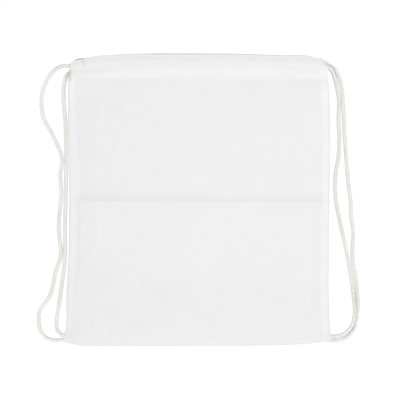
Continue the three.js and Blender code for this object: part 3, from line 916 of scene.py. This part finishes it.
# %% [markdown]
# The hem's lining hangs from the top edge, only as wide as the mouth. At each corner of the mouth a short
# wall joins the front to the back instead, because there the two channels are one room in which a cord
# turns round. Each part is a patch of the net. The patches share their border points, and merging by
# distance sews them together.

# %% Sew the patches into one cloth
class Cloth:
    """Collects patches of a net as points, faces, a flat map and masks."""

    def __init__(self):
        self.points, self.faces, self.flat = [], [], []
        self.masks = {"layers": [], "tint": [], "grey": []}
        self.count = 0

    def add(self, x, y, z, flat_y, upward, **masks):
        rows, columns = x.shape
        faces = grid_faces(rows, columns, False) + self.count
        self.faces.append(faces if upward else faces[:, ::-1])
        self.points.append(np.stack([x, y, z], axis=-1).reshape(-1, 3) * MM)
        self.flat.append(np.stack([x, flat_y], axis=-1).reshape(-1, 2) * MM)
        for title, values in self.masks.items():
            values.append(np.broadcast_to(masks.get(title, 0.0), x.shape).ravel())
        self.count += x.size

    def build(self, name):
        faces = np.vstack(self.faces)
        cloth = new_piece(name, np.vstack(self.points), faces.tolist())
        layer = cloth.data.uv_layers.new(name="flat")
        layer.data.foreach_set("uv", np.vstack(self.flat)[faces.ravel()].ravel())
        for title, values in self.masks.items():
            mask = cloth.data.attributes.new(title, "FLOAT", "POINT")
            mask.data.foreach_set("value", np.concatenate(values).astype(np.float32))
        return cloth


# Painted shade on the back edge of the mouth, which lies in the shade of the front edge: how dark it is
# along its length.
LIP_SHADE = [
    (-181, 5), (-172, 13), (-162, 11), (-157, 9), (-110, 10), (-70, 9.5), (-64, 9), (20, 9), (75, 7.5),
    (130, 7), (183, 9),
]
lip_shade = smooth_table(LIP_SHADE, 1)
HEM_LAYERS, LABEL_LAYERS, BACK_HEM_LAYERS, LINING_LAYERS = 0.3, 0.6, 0.7, 0.4
# Depths below the mouth edge between which each of these comes or goes.
LAYERS_COME, LAYERS_GO, BACK_LAYERS_GO = (8, 16), (37.5, 34), (36.5, 34.5)
RAW_EDGE_COMES, LIP_SHADE_GOES = (38, 44), (6, 2)
RAW_EDGE_WIDTH = 1.3
# Broad painted shade, greyer towards the left, the bottom and the top: how grey, across (0) or up (1) the
# bag, where the grey starts and where it is full.
BROAD_PAINTED_SHADES = [
    (0.35, 0, 40, -190), (0.3, 0, 120, -180), (0.25, 1, 60, 150), (0.45, 1, -60, -200), (0.15, 1, -20, -120),
]
LANE_TINT, LANE_TINT_WIDTH = 0.1, 4.5
LEFT_LANE_TINT, LEFT_LANE_FADE = 0.5, (-105, -160)
END_TINT, END_TINT_WIDTH = 0.7, 9.0
SEWN_END = (184, -197.5)


def front_layers(x, y):
    """Paler where more layers of cloth lie over each other."""
    mouth, side, _ = insets(x, y)
    hem = HEM_LAYERS * ease(mouth, *LAYERS_COME) * ease(mouth, *LAYERS_GO)
    hem_or_seam = np.maximum(hem, allowance_share(x, y, mouth, side, 0.8))
    return np.maximum(hem_or_seam, LABEL_LAYERS * label_share(x, y, 0.6))


def front_grey(x, y):
    """Painted shade of sharp creases and broad parts greyer in the photograph, and dark lines at raw edges.
    """
    mouth, side, _ = insets(x, y)
    grey = bell(past_allowance(x, y, side), RAW_EDGE_WIDTH) * ease(mouth, *RAW_EDGE_COMES)
    for _, x0, y0, x1, y1, width, dark in CREASE_SHADE_MARKS:
        grey += dark * bell(from_line(x, y, x0, y0, x1, y1), width)
    for share, axis, start, full in BROAD_PAINTED_SHADES:
        grey += share * ease((x, y)[axis], start, full)
    return grey


def lip_grey(x, mouth):
    """Painted shade: the back edge of the mouth lies in the shade of the front edge."""
    return lip_shade(x) * ease(mouth, *LIP_SHADE_GOES)


def back_layers(x, y):
    return BACK_HEM_LAYERS * ease(mouth_inset(x, y), *BACK_LAYERS_GO)


def cord_tint(x, y):
    """Where a cord lies close under the cloth, its cream colour shows through a little."""
    lower = y - np.interp(x, lower_lane[:, 0], lower_lane[:, 1])
    lane_tint = LANE_TINT + LEFT_LANE_TINT * ease(x, *LEFT_LANE_FADE)
    from_end = np.hypot(np.abs(x) - SEWN_END[0], y - SEWN_END[1])
    tint = lane_tint * bell(lower, LANE_TINT_WIDTH) + END_TINT * bell(from_end, END_TINT_WIDTH)
    return np.clip(tint, 0, 1)


cloth = Cloth()
net_depth = mouth_inset(net_x, net_y)
cloth.add(
    net_x, net_y - front_shift(net_x, net_depth), front_height(net_x, net_y), net_y, True,
    layers=front_layers(net_x, net_y), tint=cord_tint(net_x, net_y), grey=front_grey(net_x, net_y),
)
# The back is given the painted shade of the mouth's back edge.
cloth.add(
    net_x, net_y, back_height(net_x, net_y), 2 * foot_edge(net_x) - net_y, False,
    layers=back_layers(net_x, net_y), tint=0.5 * cord_tint(net_x, net_y), grey=lip_grey(net_x, net_depth),
)

# %% The lining of the hem and the corner walls
lining_rows = np.array([inset for inset in reversed(MOUTH_ROWS) if inset <= LINING_DEPTH])
inner = np.flatnonzero(np.abs(net_x[-1]) <= MOUTH_HALF_WIDTH + 0.01)
lining_x = np.tile(net_x[-1, inner], (len(lining_rows), 1))
lining_depth = np.tile(lining_rows[:, None], (1, len(inner)))
lining_y = at_mouth_inset(lining_x, lining_depth)
for which, upward in (("front", True), ("back", False)):
    lining_z = lining_height(which, lining_x, lining_depth)
    shift = lip_shift(lining_x, lining_depth) if which == "front" else 0
    # The back lining is given the same painted shade along the mouth.
    shade = 0 if which == "front" else lip_grey(lining_x, lining_depth)
    flat_y = 2 * mouth_edge(lining_x) - lining_y
    cloth.add(lining_x, lining_y - shift, lining_z, flat_y, upward, layers=LINING_LAYERS, grey=shade)

wall_rows = lining_rows[lining_rows <= LIP_ROUND]
for columns in (np.arange(inner[0] + 1), np.arange(inner[-1], column_count)):
    wall_x = np.tile(net_x[-1, columns], (len(wall_rows), 1))
    wall_depth = np.tile(wall_rows[:, None], (1, len(columns)))
    wall_y = at_mouth_inset(wall_x, wall_depth)
    at_seam = np.full_like(wall_x, MOUTH_HALF_WIDTH)
    for which, upward in (("front", True), ("back", False)):
        shift = lip_shift(wall_x, wall_depth) if which == "front" else 0
        wall_z = lining_height(which, at_seam, wall_depth)
        # The corner walls are given the painted shade of the mouth's back edge.
        shade = lip_shade(wall_x)
        cloth.add(wall_x, wall_y - shift, wall_z, wall_y, upward, layers=LINING_LAYERS, grey=shade)

# %% The seam allowances, turned in under the front
ALLOWANCE_ROWS = np.linspace(-188, 148, 85)
ALLOWANCE_SHARES = np.linspace(0, 1, 7)
ALLOWANCE_BELOW = 1.8
ALLOWANCE_START = 1.5
for edge, width, inward in ((left_edge, left_allowance_width, 1), (right_edge, RIGHT_ALLOWANCE_WIDTH, -1)):
    strip_y = np.tile(ALLOWANCE_ROWS[:, None], (1, len(ALLOWANCE_SHARES)))
    strip_width = width(strip_y) if callable(width) else width
    from_edge = ALLOWANCE_START + (strip_width - ALLOWANCE_START) * ALLOWANCE_SHARES
    strip_x = edge(strip_y) + inward * from_edge
    strip_z = front_height(strip_x, strip_y) - ALLOWANCE_BELOW
    cloth.add(strip_x, strip_y, strip_z, strip_y, inward > 0)

bag_cloth = cloth.build("bag_cloth")
print("cloth net:", cloth.count, "points")

# %% Merge the borders and give the cloth its thickness
CLOTH_THICKNESS = 0.6 * MM
MERGE_DISTANCE = 0.00001
SMOOTH_ANGLE = math.radians(60)


def make_active(piece):
    bpy.ops.object.select_all(action="DESELECT")
    piece.select_set(True)
    bpy.context.view_layer.objects.active = piece


def apply_modifier(piece, title, kind, **settings):
    modifier = piece.modifiers.new(title, kind)
    for setting, value in settings.items():
        setattr(modifier, setting, value)
    make_active(piece)
    bpy.ops.object.modifier_apply(modifier=title)


make_active(bag_cloth)
bpy.ops.object.mode_set(mode="EDIT")
bpy.ops.mesh.select_all(action="SELECT")
bpy.ops.mesh.remove_doubles(threshold=MERGE_DISTANCE)
bpy.ops.object.mode_set(mode="OBJECT")
apply_modifier(
    bag_cloth, "thickness", "SOLIDIFY", thickness=CLOTH_THICKNESS, offset=-1.0, use_quality_normals=True
)
make_active(bag_cloth)
bpy.ops.object.shade_smooth_by_angle(angle=SMOOTH_ANGLE)
print("cloth:", len(bag_cloth.data.polygons), "faces")

# %% White cotton
COTTON_THREADS = 1900.0
ONE_LAYER, MORE_LAYERS = (0.822, 0.822, 0.822, 1), (0.857, 0.857, 0.857, 1)
CORD_BELOW = (0.81, 0.805, 0.78, 1)
# The random fade and the painted shade both darken the cloth towards the same grey.
SLUB_GREY, FADE_AND_SHADE_GREY = (0.4, 0.4, 0.4, 1), (0.45, 0.45, 0.45, 1)
SLUB_SHARE, FADE_SHARE, PAINTED_SHADE_SHARE = 0.05, 0.03, 0.06
CLOTH_HAIR_DEPTH, CLOTH_WEAVE_DEPTH = 0.08 * MM, 0.12 * MM


def cloth_material():
    tree, material, shader, _, fibre = cotton_material(
        "white_cotton", rough=(0.86, 0.97), specular=0.15, sheen=(0.04, 0.5)
    )
    weave = place_group(
        tree, plain_weave, {"Vector": own_map(tree, "flat"), "Threads per metre": COTTON_THREADS}
    )
    layers, tint, grey = (
        add_node(tree, "Attribute", "Fac", {}, attribute_name=title) for title in ("layers", "tint", "grey")
    )
    white = blend_colours(tree, layers, ONE_LAYER, MORE_LAYERS)
    creamed = blend_colours(tree, tint, white, CORD_BELOW)
    grain = spread(tree, weave.outputs["Slubs"], *STRONG, SLUB_SHARE, 0.0)
    slubbed = blend_colours(tree, grain, creamed, SLUB_GREY)
    fade = spread(tree, fibre.outputs["Tone"], *STRONG, FADE_SHARE, 0.0)
    faded = blend_colours(tree, fade, slubbed, FADE_AND_SHADE_GREY)
    # Painted shade: the creases, the back edge of the mouth and broad parts are darkened in the colour, with
    # a darker line along the raw edges.
    shaded = calculate(tree, "MULTIPLY", grey, PAINTED_SHADE_SHARE)
    plug(tree, blend_colours(tree, shaded, faded, FADE_AND_SHADE_GREY), shader.inputs["Base Color"])
    hairs = bump(tree, fibre.outputs["Height"], CLOTH_HAIR_DEPTH)
    plug(tree, bump(tree, weave.outputs["Height"], CLOTH_WEAVE_DEPTH, hairs), shader.inputs["Normal"])
    return material


white_cotton = cloth_material()
bag_cloth.data.materials.append(white_cotton)
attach(bag_cloth, "root")
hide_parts("front_panel", "back_panel", "left_seam", "right_seam", "bottom_fold", "mouth_hem")
print("cloth finish:", white_cotton.name)

# %% [markdown]
# ## The stitches of the hem
# One row of stitches holds each hem down, front and back. A stitch is a short piece of thread that dips
# into the cloth at both ends. A dashed line could be painted on, but each real stitch catches the light
# by itself. So one stitch is modelled from a small sphere that is drawn out along the row, and copies of
# it are laid along both rows, each tilted to the cloth under it.

# %% One stitch
STITCH_HALVES = (1.25, 0.3, 0.24)
STITCH_DIP = 0.22
STITCH_SIDES = 6

bpy.ops.object.select_all(action="DESELECT")
bpy.ops.mesh.primitive_uv_sphere_add(segments=STITCH_SIDES, ring_count=STITCH_SIDES, radius=1)
stitch = bpy.context.object
bpy.ops.object.mode_set(mode="EDIT")
bpy.ops.mesh.select_all(action="SELECT")
bpy.ops.transform.rotate(value=math.pi / 2, orient_axis="Y", center_override=(0, 0, 0))
bpy.ops.transform.resize(value=STITCH_HALVES)
bpy.ops.object.mode_set(mode="OBJECT")
stitch_points = np.array([vertex.co for vertex in stitch.data.vertices])
stitch_points[:, 2] -= STITCH_DIP * (stitch_points[:, 0] / STITCH_HALVES[0]) ** 2
stitch_faces = [list(face.vertices) for face in stitch.data.polygons]
bpy.ops.object.delete()
print("one stitch:", len(stitch_faces), "faces")

# %% Two rows of copies
STITCH_PITCH = 3.2
STITCH_ENDS = (-178.0, 179.0)
STITCH_LIFT = 0.1
PROBE = 0.4


def surface_frame(height, x, y):
    """Directions along the row, across it and out of the cloth, from the slope of a surface."""
    slope_x = (height(x + PROBE, y) - height(x - PROBE, y)) / (2 * PROBE)
    slope_y = (height(x, y + PROBE) - height(x, y - PROBE)) / (2 * PROBE)
    along = np.stack([np.ones_like(x), 0 * x, slope_x], axis=-1)
    along /= np.linalg.norm(along, axis=1)[:, None]
    out = np.stack([-slope_x, -slope_y, np.ones_like(x)], axis=-1)
    out /= np.linalg.norm(out, axis=1)[:, None]
    return along, np.cross(out, along), out


def stitch_row(height, side):
    """Points of all stitches of one row, on the upper (1) or lower (-1) side of a surface."""
    x = np.arange(*STITCH_ENDS, STITCH_PITCH)
    y = hem_line(x)
    along, across, out = surface_frame(height, x, y)
    middle = np.stack([x, y, height(x, y)], axis=-1) + side * STITCH_LIFT * out
    local = stitch_points * (1, side, side)
    turned = sum(local[None, :, k, None] * axis[:, None] for k, axis in enumerate((along, across, out)))
    return (middle[:, None] + turned).reshape(-1, 3) * MM


stitch_rows = np.vstack([stitch_row(front_height, 1), stitch_row(back_height, -1)])
stitch_count = len(stitch_rows) // len(stitch_points)
row_faces = [
    [corner + copy * len(stitch_points) for corner in face]
    for copy in range(stitch_count)
    for face in stitch_faces
]
hem_stitches = new_piece("hem_stitches", stitch_rows, row_faces)
hem_stitches.data.shade_smooth()
print("stitches:", stitch_count)

# %% White sewing thread
THREAD_WHITE = ((0.78, 0.78, 0.775, 1), (0.87, 0.87, 0.865, 1))
THREAD_TWIST, TWIST_DEPTH = (3600, 1400, 1400), 0.04 * MM


def thread_material():
    tree, material, shader, place, _ = cotton_material("white_thread", rough=(0.6, 0.8), specular=0.25)
    twist = stretched_noise(tree, place, THREAD_TWIST, 1.0)
    tone = spread(tree, twist, *STRONG, 0.0, 1.0)
    plug(tree, blend_colours(tree, tone, *THREAD_WHITE), shader.inputs["Base Color"])
    plug(tree, bump(tree, twist, TWIST_DEPTH), shader.inputs["Normal"])
    return material


hem_stitches.data.materials.append(thread_material())
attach(hem_stitches, "root")
print("thread finish:", hem_stitches.data.materials[0].name)

# %% [markdown]
# ## The label
# A small blank label of smooth white tape is caught in the right seam, on the inside. In the photograph
# it shows only as a paler patch through the cloth. It is a grid of faces, laid just under the front and
# given the thickness of tape.

# %% A blank label inside the seam
LABEL_ENDS = (148.0, 184.0)
LABEL_BELOW = 1.1
LABEL_CELLS = (24, 12)
TAPE_THICKNESS = 0.35 * MM


def lay_under_front(piece, below):
    """Moves every point of a flat piece to just under the front of the bag."""
    points = np.empty(3 * len(piece.data.vertices))
    piece.data.vertices.foreach_get("co", points)
    points = points.reshape(-1, 3)
    points[:, 2] = (front_height(points[:, 0] / MM, points[:, 1] / MM) - below) * MM
    piece.data.vertices.foreach_set("co", points.ravel())


label_width, label_height = LABEL_ENDS[1] - LABEL_ENDS[0], LABEL[3] - LABEL[2]
bpy.ops.object.select_all(action="DESELECT")
bpy.ops.mesh.primitive_grid_add(x_subdivisions=LABEL_CELLS[0], y_subdivisions=LABEL_CELLS[1], size=1)
label = bpy.context.object
label.name = "inner_label"
label.scale = (label_width * MM, label_height * MM, 1)
label.location = (sum(LABEL_ENDS) / 2 * MM, (LABEL[2] + LABEL[3]) / 2 * MM, 0)
bpy.ops.object.transform_apply(location=True, rotation=True, scale=True)
lay_under_front(label, LABEL_BELOW)
apply_modifier(label, "thickness", "SOLIDIFY", thickness=TAPE_THICKNESS, offset=-1.0)
make_active(label)
bpy.ops.object.shade_smooth_by_angle(angle=SMOOTH_ANGLE)
print("label:", label_width, "by", round(label_height, 1), "mm")

# %% Smooth white tape
TAPE_THREADS, TAPE_DEPTH = 3600.0, 0.05 * MM
TAPE_WHITE = ((0.84, 0.84, 0.83, 1), (0.89, 0.89, 0.88, 1))


def tape_material():
    tree, material, shader, place, _ = cotton_material("label_tape", rough=(0.5, 0.65), specular=0.5)
    weave = place_group(tree, plain_weave, {"Vector": place, "Threads per metre": TAPE_THREADS})
    tone = spread(tree, weave.outputs["Slubs"], *STRONG, 0.0, 1.0)
    plug(tree, blend_colours(tree, tone, *TAPE_WHITE), shader.inputs["Base Color"])
    plug(tree, bump(tree, weave.outputs["Height"], TAPE_DEPTH), shader.inputs["Normal"])
    return material


label_tape = tape_material()
label.data.materials.append(label_tape)
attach(label, "root")
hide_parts("side_label")
print("label finish:", label_tape.name)
